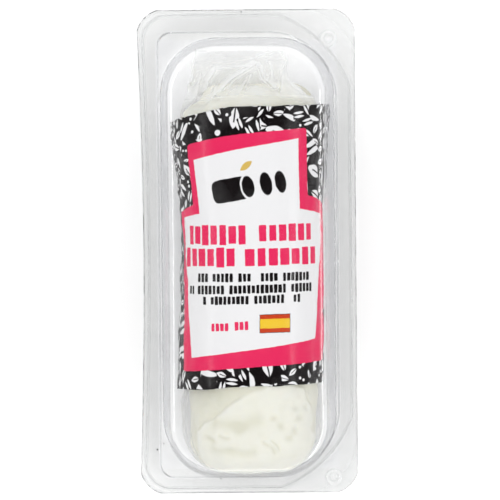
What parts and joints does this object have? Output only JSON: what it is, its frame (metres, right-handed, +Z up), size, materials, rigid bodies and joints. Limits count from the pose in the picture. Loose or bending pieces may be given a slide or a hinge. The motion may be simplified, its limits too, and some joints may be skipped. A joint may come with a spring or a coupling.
{
  "type": "goat cheese log in its pack",
  "caption": "Soft white goat cheese log, wrapped in clear film with a printed band, sealed in a clear domed tray pack with a plain back label.",
  "frame": {"origin": "under the middle of the pack's flange, on the plane it rests on", "axes": "+X to the peel corners' side across the pack, +Y along the log towards the gathered end of its film, +Z up out of the dome's roof"},
  "size_m": [0.0562, 0.125, 0.0371],
  "materials": {
    "clear_pack": "clear formed plastic, glossy, faintly rippled",
    "label_paper": "plain white label paper, faintly blue",
    "cheese": "soft moist fresh cheese, off-white, slightly translucent",
    "printed_film": "printed film with black, white and pink fields, satin gloss",
    "wrap_film": "thin clear wrapping film, crumpled and glossy"
  },
  "bodies": {
    "root": {"dome_shell": "clear_pack", "backing_film": "clear_pack", "back_label": "label_paper", "cheese_log": "cheese", "printed_band": "printed_film", "film_tail": "wrap_film"}
  },
  "joints": []
}
